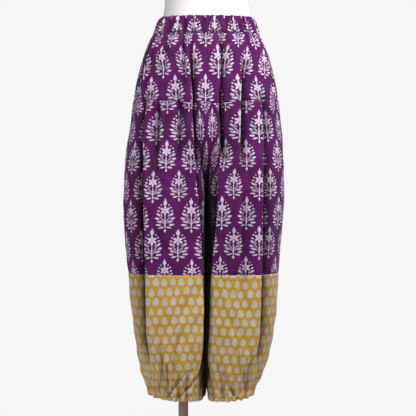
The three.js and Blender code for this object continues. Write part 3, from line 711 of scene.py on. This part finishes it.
def hangs_from(piece, face, sides):
    """The name of the piece above, or of the torso for the waistband."""
    above = {"yoke": "waistband", "leg": "yoke", "border": "leg", "casing": "border"}.get(piece["name"])
    if above is None:
        return "form_torso"
    return "_".join(["cloth", above, face] + ([] if above == "waistband" else list(sides)))


sheets = {}
for piece in PIECES:
    halves = [("right", "left")] if piece["name"] == "waistband" else [("left",), ("right",)]
    for face in ("front", "back"):
        for sides in halves:
            cloth, width, length, area = make_sheet(piece, face, sides)
            above = hangs_from(piece, face, sides)
            sheets[cloth.name] = (cloth, piece)
            print(cloth.name, f"{width:.3f} x {length:.3f} m, {area:.3f} square metres")

# %% [markdown]
# ## The form under the cloth
# The torso is a moulded shell, so its solid is smoothed. Its pole, flange, base
# and neck cap are turned parts: each starts as a cylinder of its solid's size
# and gets its edges rounded, as a lathe and sandpaper would leave them.


# %% Form parts
def smooth_copy(node, levels):
    """A smoothed copy of a solid, for a moulded part."""
    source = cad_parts[node]
    made = source.copy()
    made.data = source.data.copy()
    made.name = f"smooth_{node}"
    made.animation_data_clear()
    bpy.context.scene.collection.objects.link(made)
    only(made)
    bpy.ops.object.mode_set(mode="EDIT")
    bpy.ops.mesh.select_all(action="SELECT")
    bpy.ops.mesh.remove_doubles(threshold=0.00001)
    bpy.ops.object.mode_set(mode="OBJECT")
    change(made, "SUBSURF", levels=levels)
    bpy.ops.object.shade_smooth()
    return made


def turned_part(node, bevel, rounding=4):
    """A turned part as wide, deep and high as its solid."""
    low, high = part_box(node)
    bpy.ops.mesh.primitive_cylinder_add(
        vertices=96, radius=0.5, depth=1, location=(low + high) / 2, end_fill_type="NGON",
    )
    made = bpy.context.object
    made.name = f"turned_{node}"
    made.scale = high - low
    only(made)
    bpy.ops.object.transform_apply(location=True, rotation=True, scale=True)
    change(made, "BEVEL", width=bevel, segments=rounding, limit_method="ANGLE")
    bpy.ops.object.shade_smooth_by_angle(angle=math.radians(40))
    return made


torso = smooth_copy("form_torso", 2)
cap = turned_part("form_neck_cap", 0.004)
pole = turned_part("form_pole", 0.0004)
flange = turned_part("form_flange", 0.0015)
base = turned_part("form_base", 0.005)
FORM_SLOTS = {torso: "form_white", cap: "wood", pole: "wood", flange: "steel", base: "wood"}
for made, slot in FORM_SLOTS.items():
    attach(made, "root")
    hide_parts(made.name.split("_", 1)[1])
    print(made.name, [round(x, 3) for x in made.dimensions])

# %% [markdown]
# ## Drawing with nodes
# The prints are drawn by the material, so they stay sharp at any distance. A
# small set of helpers adds nodes and joins them, and a motif is a short table
# of soft ovals, which a block cutter would carve one by one.


# %% Node helpers
class Graph:
    """Adds nodes to one node tree and joins them."""

    def __init__(self, tree):
        self.tree = tree

    def add(self, kind, *values, **settings):
        """A new node, with values for its first sockets."""
        node = self.tree.nodes.new("ShaderNode" + kind)
        for name, value in settings.items():
            setattr(node, name, value)
        for socket, value in zip(node.inputs, values):
            self.put(socket, value)
        return node

    def put(self, socket, value):
        if isinstance(value, bpy.types.NodeSocket):
            self.tree.links.new(value, socket)
        else:
            socket.default_value = value

    def math(self, operation, a, b=0.0):
        return self.add("Math", a, b, operation=operation).outputs[0]

    def plus(self, a, b):
        return self.math("ADD", a, b)

    def minus(self, a, b):
        return self.math("SUBTRACT", a, b)

    def times(self, a, b):
        return self.math("MULTIPLY", a, b)

    def vector(self, operation, a, b=(0, 0, 0)):
        node = self.add("VectorMath", a, b, operation=operation)
        return node.outputs["Value" if operation == "LENGTH" else "Vector"]

    def split(self, value):
        return tuple(self.add("SeparateXYZ", value).outputs)

    def join(self, x, y, z=0.0):
        return self.add("CombineXYZ", x, y, z).outputs[0]

    def blend(self, share, a, b):
        node = self.add("Mix", data_type="RGBA")
        self.put(node.inputs[0], share)
        self.put(node.inputs[6], a)
        self.put(node.inputs[7], b)
        return node.outputs[2]

    def remap(self, value, *ends):
        """Eases a value from low and high to 0 and 1, or to two other ends."""
        return self.add("MapRange", value, *ends, interpolation_type="SMOOTHSTEP").outputs[0]

    def noise(self, vector, scale, detail=3.0):
        node = self.add("TexNoise", vector)
        node.inputs["Scale"].default_value = scale
        node.inputs["Detail"].default_value = detail
        return node.outputs["Fac"]

    def oval(self, place, x, y, half_length, half_width, turn):
        """0 at the middle of an oval, 1 on its edge and more outside."""
        turned, size = (0, 0, math.radians(turn)), (half_length, half_width, 1)
        node = self.add("Mapping", place, (x, y, 0), turned, size, vector_type="TEXTURE")
        return self.vector("LENGTH", node.outputs[0])

    def ovals(self, place, table):
        """The nearest of several ovals, as one value."""
        nearest = None
        for row in table:
            value = self.oval(place, *row)
            nearest = value if nearest is None else self.math("MINIMUM", nearest, value)
        return nearest


def plain(name, colour, roughness, metallic=0.0):
    material = bpy.data.materials.new(name)
    material.use_nodes = True
    shader = material.node_tree.nodes["Principled BSDF"]
    for socket, value in (("Base Color", colour), ("Roughness", roughness), ("Metallic", metallic)):
        shader.inputs[socket].default_value = value
    return material, Graph(material.node_tree), shader


def object_place(graph):
    return graph.add("TexCoord").outputs["Object"]


def add_bump(graph, shader, height, strength, distance):
    bump = graph.add("Bump", strength, distance)
    graph.put(bump.inputs["Height"], height)
    graph.put(shader.inputs["Normal"], bump.outputs[0])


print("helpers ready")

# %% [markdown]
# ## The two block prints
# The plum cloth has a flowering tree in a half-drop repeat: a bud over a
# six-petalled flower, with pairs of leaves on a straight stem. The mustard cloth
# has a small upright leaf in the same repeat. A picture could be painted for each,
# but a table of ovals is easier to read and change.

# %% Motifs
# Middle, half length, half width and turn of each oval, for one half of a motif
FLOWERING_TREE = [
    (0, 29.4, 5.4, 3.9, 90), (0, 35, 3.4, 1.3, 90), (0, 22.8, 1.7, 1.2, 0), (0, 17.6, 4.3, 2.5, 90),
    (5.5, 14.6, 4.5, 2.6, 32), (5.7, 8.4, 4.4, 2.5, -30), (0, 4.6, 4.2, 2.3, 90),
    (0, 11.4, 1.9, 1.9, 0), (8.6, 24, 1.9, 1.2, 60), (13, 18.2, 2.3, 1.4, 40),
    (14.8, 10.6, 2.9, 1.6, 24), (8.4, 0.8, 3.2, 1.1, 48), (15.2, 3, 4.6, 2.3, 36),
    (7.4, -6.6, 8.2, 0.8, 50), (17.2, -6.2, 4.8, 2.3, 16), (6.6, -13.6, 7, 0.8, 40),
    (13, -13.4, 5.6, 1.8, 20), (15.2, -20.2, 5.8, 2.2, 4), (8.8, -26.4, 5.8, 1.8, -12),
    (0, -15, 15, 1.4, 90), (0, -33.4, 3.4, 2.2, 90),
]
SMALL_LEAF = [
    (0, -2.8, 5.4, 5.4, 0), (5.6, -6, 2, 1.5, -30), (6.4, -2.6, 2, 1.5, 5), (5.8, 1, 2, 1.5, 35),
    (4.4, 4.2, 2, 1.5, 55), (2.4, 7, 2, 1.4, 70), (0, 2.8, 6.4, 3.9, 90), (0, 8.8, 2.6, 1.5, 90),
    (2.8, -8.2, 2.4, 1.5, -20), (0, -10.4, 2, 0.9, 90),
]
print(len(FLOWERING_TREE), "ovals in the tree,", len(SMALL_LEAF), "in the leaf")

# %% [markdown]
# ## Printing a cloth
# Every other row of a half-drop print moves by half a repeat, so two lattices of
# the same motif make it. A block is pressed by hand, so each motif sits, sizes and
# wears a little differently. A printed cotton also has its weave, thicker threads
# and machine stitches beside its seams, and painted shade darkens its folds, creases,
# gathers and the gap between the legs.


# %% Repeat of a print
# Each motif's size, the patches where its ink is thin, and the line around it
SIZE_LEAST, SIZE_MORE = 0.95, 0.14
PATCH_APART, PATCH_SCALE = (90, 90, 90), 0.42
RING_INNER, RING_OUTER = (1.0, 1.06), (1.42, 1.2)
WAVES_PER_MM = 2.6
VEIN = {
    "rib": (0.5, 0.15), "rib_share": 0.35, "slant": 0.8, "apart": 3.6, "dots": 2.6, "shown": (0.35, 0.95),
}
STITCH = {
    "length": 2.8, "from_seam": 2.4, "width": 0.42, "dash": (0.42, 0.34), "shown": 0.8, "raised": 4.0,
}
# Near-black colour of painted shade, under folds, along creases, in gathers and in the gap between the
# legs
PAINTED_SHADE_COLOUR = (0.006, 0.002, 0.005, 1)


def lattice(graph, across, up, half):
    """Place in the cell of every other row, from the middle of the motif."""
    shift = 0.5 if half else 0.0
    moved_x = graph.plus(across, 0.5 + shift)
    moved_y = graph.plus(graph.times(up, 0.5), 0.5 + shift)
    cell_x, cell_y = graph.math("FLOOR", moved_x), graph.math("FLOOR", moved_y)
    x = graph.minus(graph.minus(moved_x, cell_x), 0.5)
    y = graph.minus(graph.minus(moved_y, cell_y), 0.5)
    return x, y, graph.join(cell_x, cell_y, shift)


print("two lattices make one half-drop repeat")


def veins(graph, x, y):
    """Dark rib, side veins and dots across a motif, from 0 to 1."""
    rib = graph.remap(graph.math("ABSOLUTE", x), *VEIN["rib"])
    side = graph.math("ABSOLUTE", x)
    slant = graph.minus(y, graph.times(side, VEIN["slant"]))
    lines = graph.math("SINE", graph.times(slant, 2 * math.pi / VEIN["apart"]))
    dots = graph.math("SINE", graph.times(side, 2 * math.pi / VEIN["dots"]))
    dotted = graph.times(lines, graph.plus(dots, 0.6))
    side_veins = graph.remap(dotted, *VEIN["shown"])
    return graph.math("MAXIMUM", graph.times(rib, VEIN["rib_share"]), side_veins)


def printed_motif(graph, across, up, half, repeat, table, softness, wobble, wear):
    """How much of a motif, its veins and the line round it cover a point, from 0 to 1."""
    x, y, cell = lattice(graph, across, up, half)
    chance = graph.add("TexWhiteNoise", cell, noise_dimensions="3D")
    offset = graph.vector("SUBTRACT", chance.outputs["Color"], (0.5, 0.5, 0.5))
    place = graph.join(graph.times(x, repeat[0]), graph.times(y, 2 * repeat[1]))
    moved = graph.add(
        "VectorMath", offset, (wobble, wobble, 0), place, operation="MULTIPLY_ADD",
    ).outputs[0]
    size = graph.plus(graph.times(chance.outputs["Value"], SIZE_MORE), SIZE_LEAST)
    sized = graph.vector("MULTIPLY", moved, graph.join(size, size, 1.0))
    px, py, _ = graph.split(sized)
    offset_far = graph.vector("MULTIPLY", chance.outputs["Color"], PATCH_APART)
    folded = graph.join(graph.math("ABSOLUTE", px), py)
    patches = graph.noise(graph.vector("ADD", place, offset_far), PATCH_SCALE, 3.0)
    eaten = graph.minus(patches, 0.5)
    value = graph.plus(graph.ovals(folded, table), graph.times(eaten, wear))
    cover = graph.remap(value, 1 + softness, 1 - softness)
    ring = graph.math("MINIMUM", graph.remap(value, *RING_INNER), graph.remap(value, *RING_OUTER))
    return cover, graph.times(cover, veins(graph, px, py)), ring


def weave(graph, across, up, repeat):
    """Height of a plain weave, where each wave is two threads."""
    waves = 2 * math.pi * WAVES_PER_MM
    warp = graph.math("SINE", graph.times(across, waves * repeat[0]))
    weft = graph.math("SINE", graph.times(up, waves * repeat[1]))
    return graph.times(warp, weft)


def stitches(graph):
    """A row of machine stitches beside each long seam, from 0 to 1."""
    along, away, _ = graph.split(graph.add("UVMap", uv_map="sewing").outputs[0])
    place = graph.math("FRACT", graph.math("DIVIDE", along, STITCH["length"]))
    middle = graph.math("ABSOLUTE", graph.minus(place, 0.5))
    dash = graph.remap(middle, *STITCH["dash"])
    row = graph.math("ABSOLUTE", graph.minus(away, STITCH["from_seam"]))
    return graph.times(dash, graph.remap(row, STITCH["width"], 0.5 * STITCH["width"]))


def cotton(
    name, repeat, table, softness, wobble, wear, ground, shade, ink, faded,
    vein_colour, vein_share, cloud_share,
):
    """A printed cotton: ground cloth, block print, weave, a soft bloom and painted shade."""
    material, graph, shader = plain(name, ground, 0.86)
    whole = graph.add("UVMap", uv_map="print").outputs[0]
    across, up, _ = graph.split(whole)
    block = (repeat, table, softness, wobble, wear)
    rows = [printed_motif(graph, across, up, half, *block) for half in (False, True)]
    cover = graph.math("MAXIMUM", rows[0][0], rows[1][0])
    vein = graph.math("MAXIMUM", rows[0][1], rows[1][1])
    ring = graph.math("MAXIMUM", rows[0][2], rows[1][2])
    metric = graph.vector("MULTIPLY", whole, (repeat[0], repeat[1], 1))
    cloudy = graph.noise(metric, 0.02, 4.0)
    grain = graph.noise(metric, 0.9, 2.0)
    cloth_colour = graph.blend(graph.remap(cloudy, 0.35, 0.65, 0.0, cloud_share), ground, shade)
    cloth_colour = graph.blend(graph.times(ring, vein_share), cloth_colour, shade)
    slubs = graph.noise(graph.vector("MULTIPLY", metric, (1.0, 0.45, 1.0)), 0.55, 3.0)
    bright = graph.remap(slubs, 0.3, 0.7, 0.78, 1.22)
    cloth_colour = graph.vector("MULTIPLY", cloth_colour, graph.join(bright, bright, bright))
    ink_colour = graph.blend(graph.remap(grain, 0.42, 0.72), ink, faded)
    strength = graph.times(cover, graph.remap(grain, 0.15, 0.45, 0.72, 0.97))
    colour = graph.blend(strength, cloth_colour, ink_colour)
    colour = graph.blend(graph.times(vein, vein_share), colour, vein_colour)
    sewn = stitches(graph)
    colour = graph.blend(graph.times(sewn, STITCH["shown"]), colour, ground)
    # Painted shade: the colour darkens towards near-black by the shade each point keeps, under folds,
    # along creases, in gathers and in the gap between the legs
    depth = graph.add("Attribute", attribute_name="fold_shade").outputs["Fac"]
    colour = graph.blend(depth, colour, PAINTED_SHADE_COLOUR)
    graph.put(shader.inputs["Base Color"], colour)
    for socket, value in (("Specular IOR Level", 0.15), ("Sheen Weight", 0.06), ("Sheen Roughness", 0.5)):
        shader.inputs[socket].default_value = value
    rough = graph.plus(weave(graph, across, up, repeat), graph.times(grain, 2.0))
    rough = graph.plus(rough, graph.times(sewn, STITCH["raised"]))
    add_bump(graph, shader, rough, 0.35, 0.0003)
    return material


PLUM_PRINT = {
    "repeat": (PRINT_PITCH, PRINT_START["waistband"][2]), "table": FLOWERING_TREE,
    "softness": 0.16, "wobble": 2.4, "wear": 1.15,
    "ground": (0.110, 0.0085, 0.108, 1), "shade": (0.082, 0.006, 0.082, 1),
    "ink": (0.72, 0.64, 0.75, 1), "faded": (0.50, 0.39, 0.56, 1),
    "vein_colour": (0.20, 0.06, 0.22, 1), "vein_share": 0.22, "cloud_share": 1.0,
}
MUSTARD_PRINT = {
    "repeat": (LEAF_PITCH, LEAF_ROW), "table": SMALL_LEAF,
    "softness": 0.10, "wobble": 2.6, "wear": 1.5,
    "ground": (0.60, 0.335, 0.016, 1), "shade": (0.20, 0.085, 0.004, 1),
    "ink": (0.74, 0.665, 0.585, 1), "faded": (0.36, 0.295, 0.22, 1),
    "vein_colour": (0.16, 0.10, 0.05, 1), "vein_share": 0.85, "cloud_share": 0.12,
}
plum = cotton("plum_cotton", **PLUM_PRINT)
mustard = cotton("mustard_cotton", **MUSTARD_PRINT)
for cloth, piece in sheets.values():
    cloth.data.materials.clear()
    cloth.data.materials.append(plum if piece["slot"] == "plum_print" else mustard)
print("cottons:", len(plum.node_tree.nodes), "and", len(mustard.node_tree.nodes), "nodes")

# %% [markdown]
# ## Shell, wood and steel
# The torso is a satin white shell with a faint orange-peel surface. The pole,
# cap and base are stained wood under a satin varnish, with grain along the pole.
# The flange is steel, brushed round its middle.


# %% Form materials
def shell_material():
    material, graph, shader = plain("white_shell", (0.80, 0.79, 0.775, 1), 0.42)
    place = object_place(graph)
    graph.put(shader.inputs["Base Color"], graph.blend(
        graph.remap(graph.noise(place, 6.0), 0.3, 0.7), (0.81, 0.80, 0.785, 1), (0.77, 0.76, 0.745, 1)))
    graph.put(shader.inputs["Roughness"], graph.remap(graph.noise(place, 30.0), 0.3, 0.7, 0.38, 0.5))
    add_bump(graph, shader, graph.noise(place, 420.0, 1.0), 0.15, 0.0004)
    return material


def wood_material(name, stretch, light, dark):
    material, graph, shader = plain(name, light, 0.38)
    place = object_place(graph)
    long_place = graph.vector("MULTIPLY", place, stretch)
    grain = graph.noise(long_place, 60.0, 6.0)
    pores = graph.noise(long_place, 380.0, 2.0)
    colour = graph.blend(graph.remap(grain, 0.36, 0.64), light, dark)
    darkest = tuple(0.5 * x for x in dark[:3]) + (1,)
    colour = graph.blend(graph.remap(pores, 0.60, 0.72, 0.0, 0.5), colour, darkest)
    graph.put(shader.inputs["Base Color"], colour)
    graph.put(shader.inputs["Roughness"], graph.remap(grain, 0.3, 0.7, 0.32, 0.5))
    shader.inputs["Coat Weight"].default_value = 0.25
    shader.inputs["Coat Roughness"].default_value = 0.25
    add_bump(graph, shader, pores, 0.12, 0.0003)
    return material


def steel_material():
    material, graph, shader = plain("brushed_steel", (0.42, 0.42, 0.43, 1), 0.34, 1.0)
    low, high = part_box("form_flange")
    middle = (low + high) / 2
    place = graph.vector("SUBTRACT", object_place(graph), tuple(middle))
    x, y, z = graph.split(place)
    squares = graph.plus(graph.times(x, x), graph.times(y, y))
    rings = graph.noise(graph.join(graph.math("SQRT", squares), z), 1800.0, 2.0)
    graph.put(shader.inputs["Roughness"], graph.remap(rings, 0.3, 0.7, 0.26, 0.46))
    add_bump(graph, shader, rings, 0.2, 0.0001)
    return material


WOOD_TONES = ((0.36, 0.235, 0.17, 1), (0.24, 0.14, 0.095, 1))
GRAIN_UP, GRAIN_ACROSS = (1.0, 1.0, 0.06), (0.08, 1.0, 1.0)
FINISHES = {
    torso: shell_material(),
    pole: wood_material("pole_wood", GRAIN_UP, *WOOD_TONES),
    cap: wood_material("cap_wood", GRAIN_ACROSS, *WOOD_TONES),
    base: wood_material("base_wood", GRAIN_ACROSS, *WOOD_TONES),
    flange: steel_material(),
}
for made, material in FINISHES.items():
    made.data.materials.clear()
    made.data.materials.append(material)
print(len(FINISHES), "form parts finished")

# %% [markdown]
# ## Light and floor
# Soft daylight comes from above, in front and to the wearer's left. A white wall
# gives some back from the other side, and a pale room fills the rest. The floor
# fades into the same pale tone, so that no edge or horizon shows.

# %% Stage
WORLD_TONE = (0.92, 0.92, 0.92, 1)
ROOM_LIGHT = 0.34
FLOOR_FADE = (0.28, 0.6)
FLOOR_RADIUS, FLOOR_DROP = 1.2, 0.0005
LIGHT_AIM = (0, 0, 0.62)

world = bpy.data.worlds.new("pale_room")
bpy.context.scene.world = world
world.use_nodes = True
room = Graph(world.node_tree)
background = world.node_tree.nodes["Background"]
background.inputs["Color"].default_value = WORLD_TONE
seen = room.add("LightPath").outputs["Is Camera Ray"]
room.put(background.inputs["Strength"], room.remap(seen, 0.0, 1.0, ROOM_LIGHT, 1.0))


def floor_material():
    material, graph, shader = plain("pale_floor", (0.86, 0.86, 0.86, 1), 0.9)
    clear = graph.add("BsdfTransparent")
    both = graph.add("MixShader")
    x, y, _ = graph.split(object_place(graph))
    distance = graph.vector("LENGTH", graph.join(x, y))
    graph.put(both.inputs[0], graph.remap(distance, *FLOOR_FADE))
    graph.put(both.inputs[1], shader.outputs[0])
    graph.put(both.inputs[2], clear.outputs[0])
    graph.put(material.node_tree.nodes["Material Output"].inputs["Surface"], both.outputs[0])
    return material


bpy.ops.mesh.primitive_circle_add(
    vertices=96, radius=FLOOR_RADIUS, fill_type="NGON", location=(0, 0, -FLOOR_DROP),
)
floor = bpy.context.object
floor.name = "floor"
floor.data.materials.append(floor_material())


def soft_light(name, azimuth, elevation, distance, size, power):
    """A square light that faces the middle of the garment."""
    lamp = bpy.data.lights.new(name, "AREA")
    lamp.size = size
    lamp.energy = power
    made = bpy.data.objects.new(name, lamp)
    bpy.context.scene.collection.objects.link(made)
    turn, rise = math.radians(azimuth), math.radians(elevation)
    level = math.cos(rise)
    away = Vector((math.sin(turn) * level, -math.cos(turn) * level, math.sin(rise)))
    made.location = Vector(LIGHT_AIM) + away * distance
    made.rotation_euler = (-away).to_track_quat("-Z", "Y").to_euler()
    return made


key = soft_light("window", 38, 50, 2.1, 0.7, 50)
fill = soft_light("white_wall", -52, 12, 2.4, 1.6, 20)
print("stage ready")
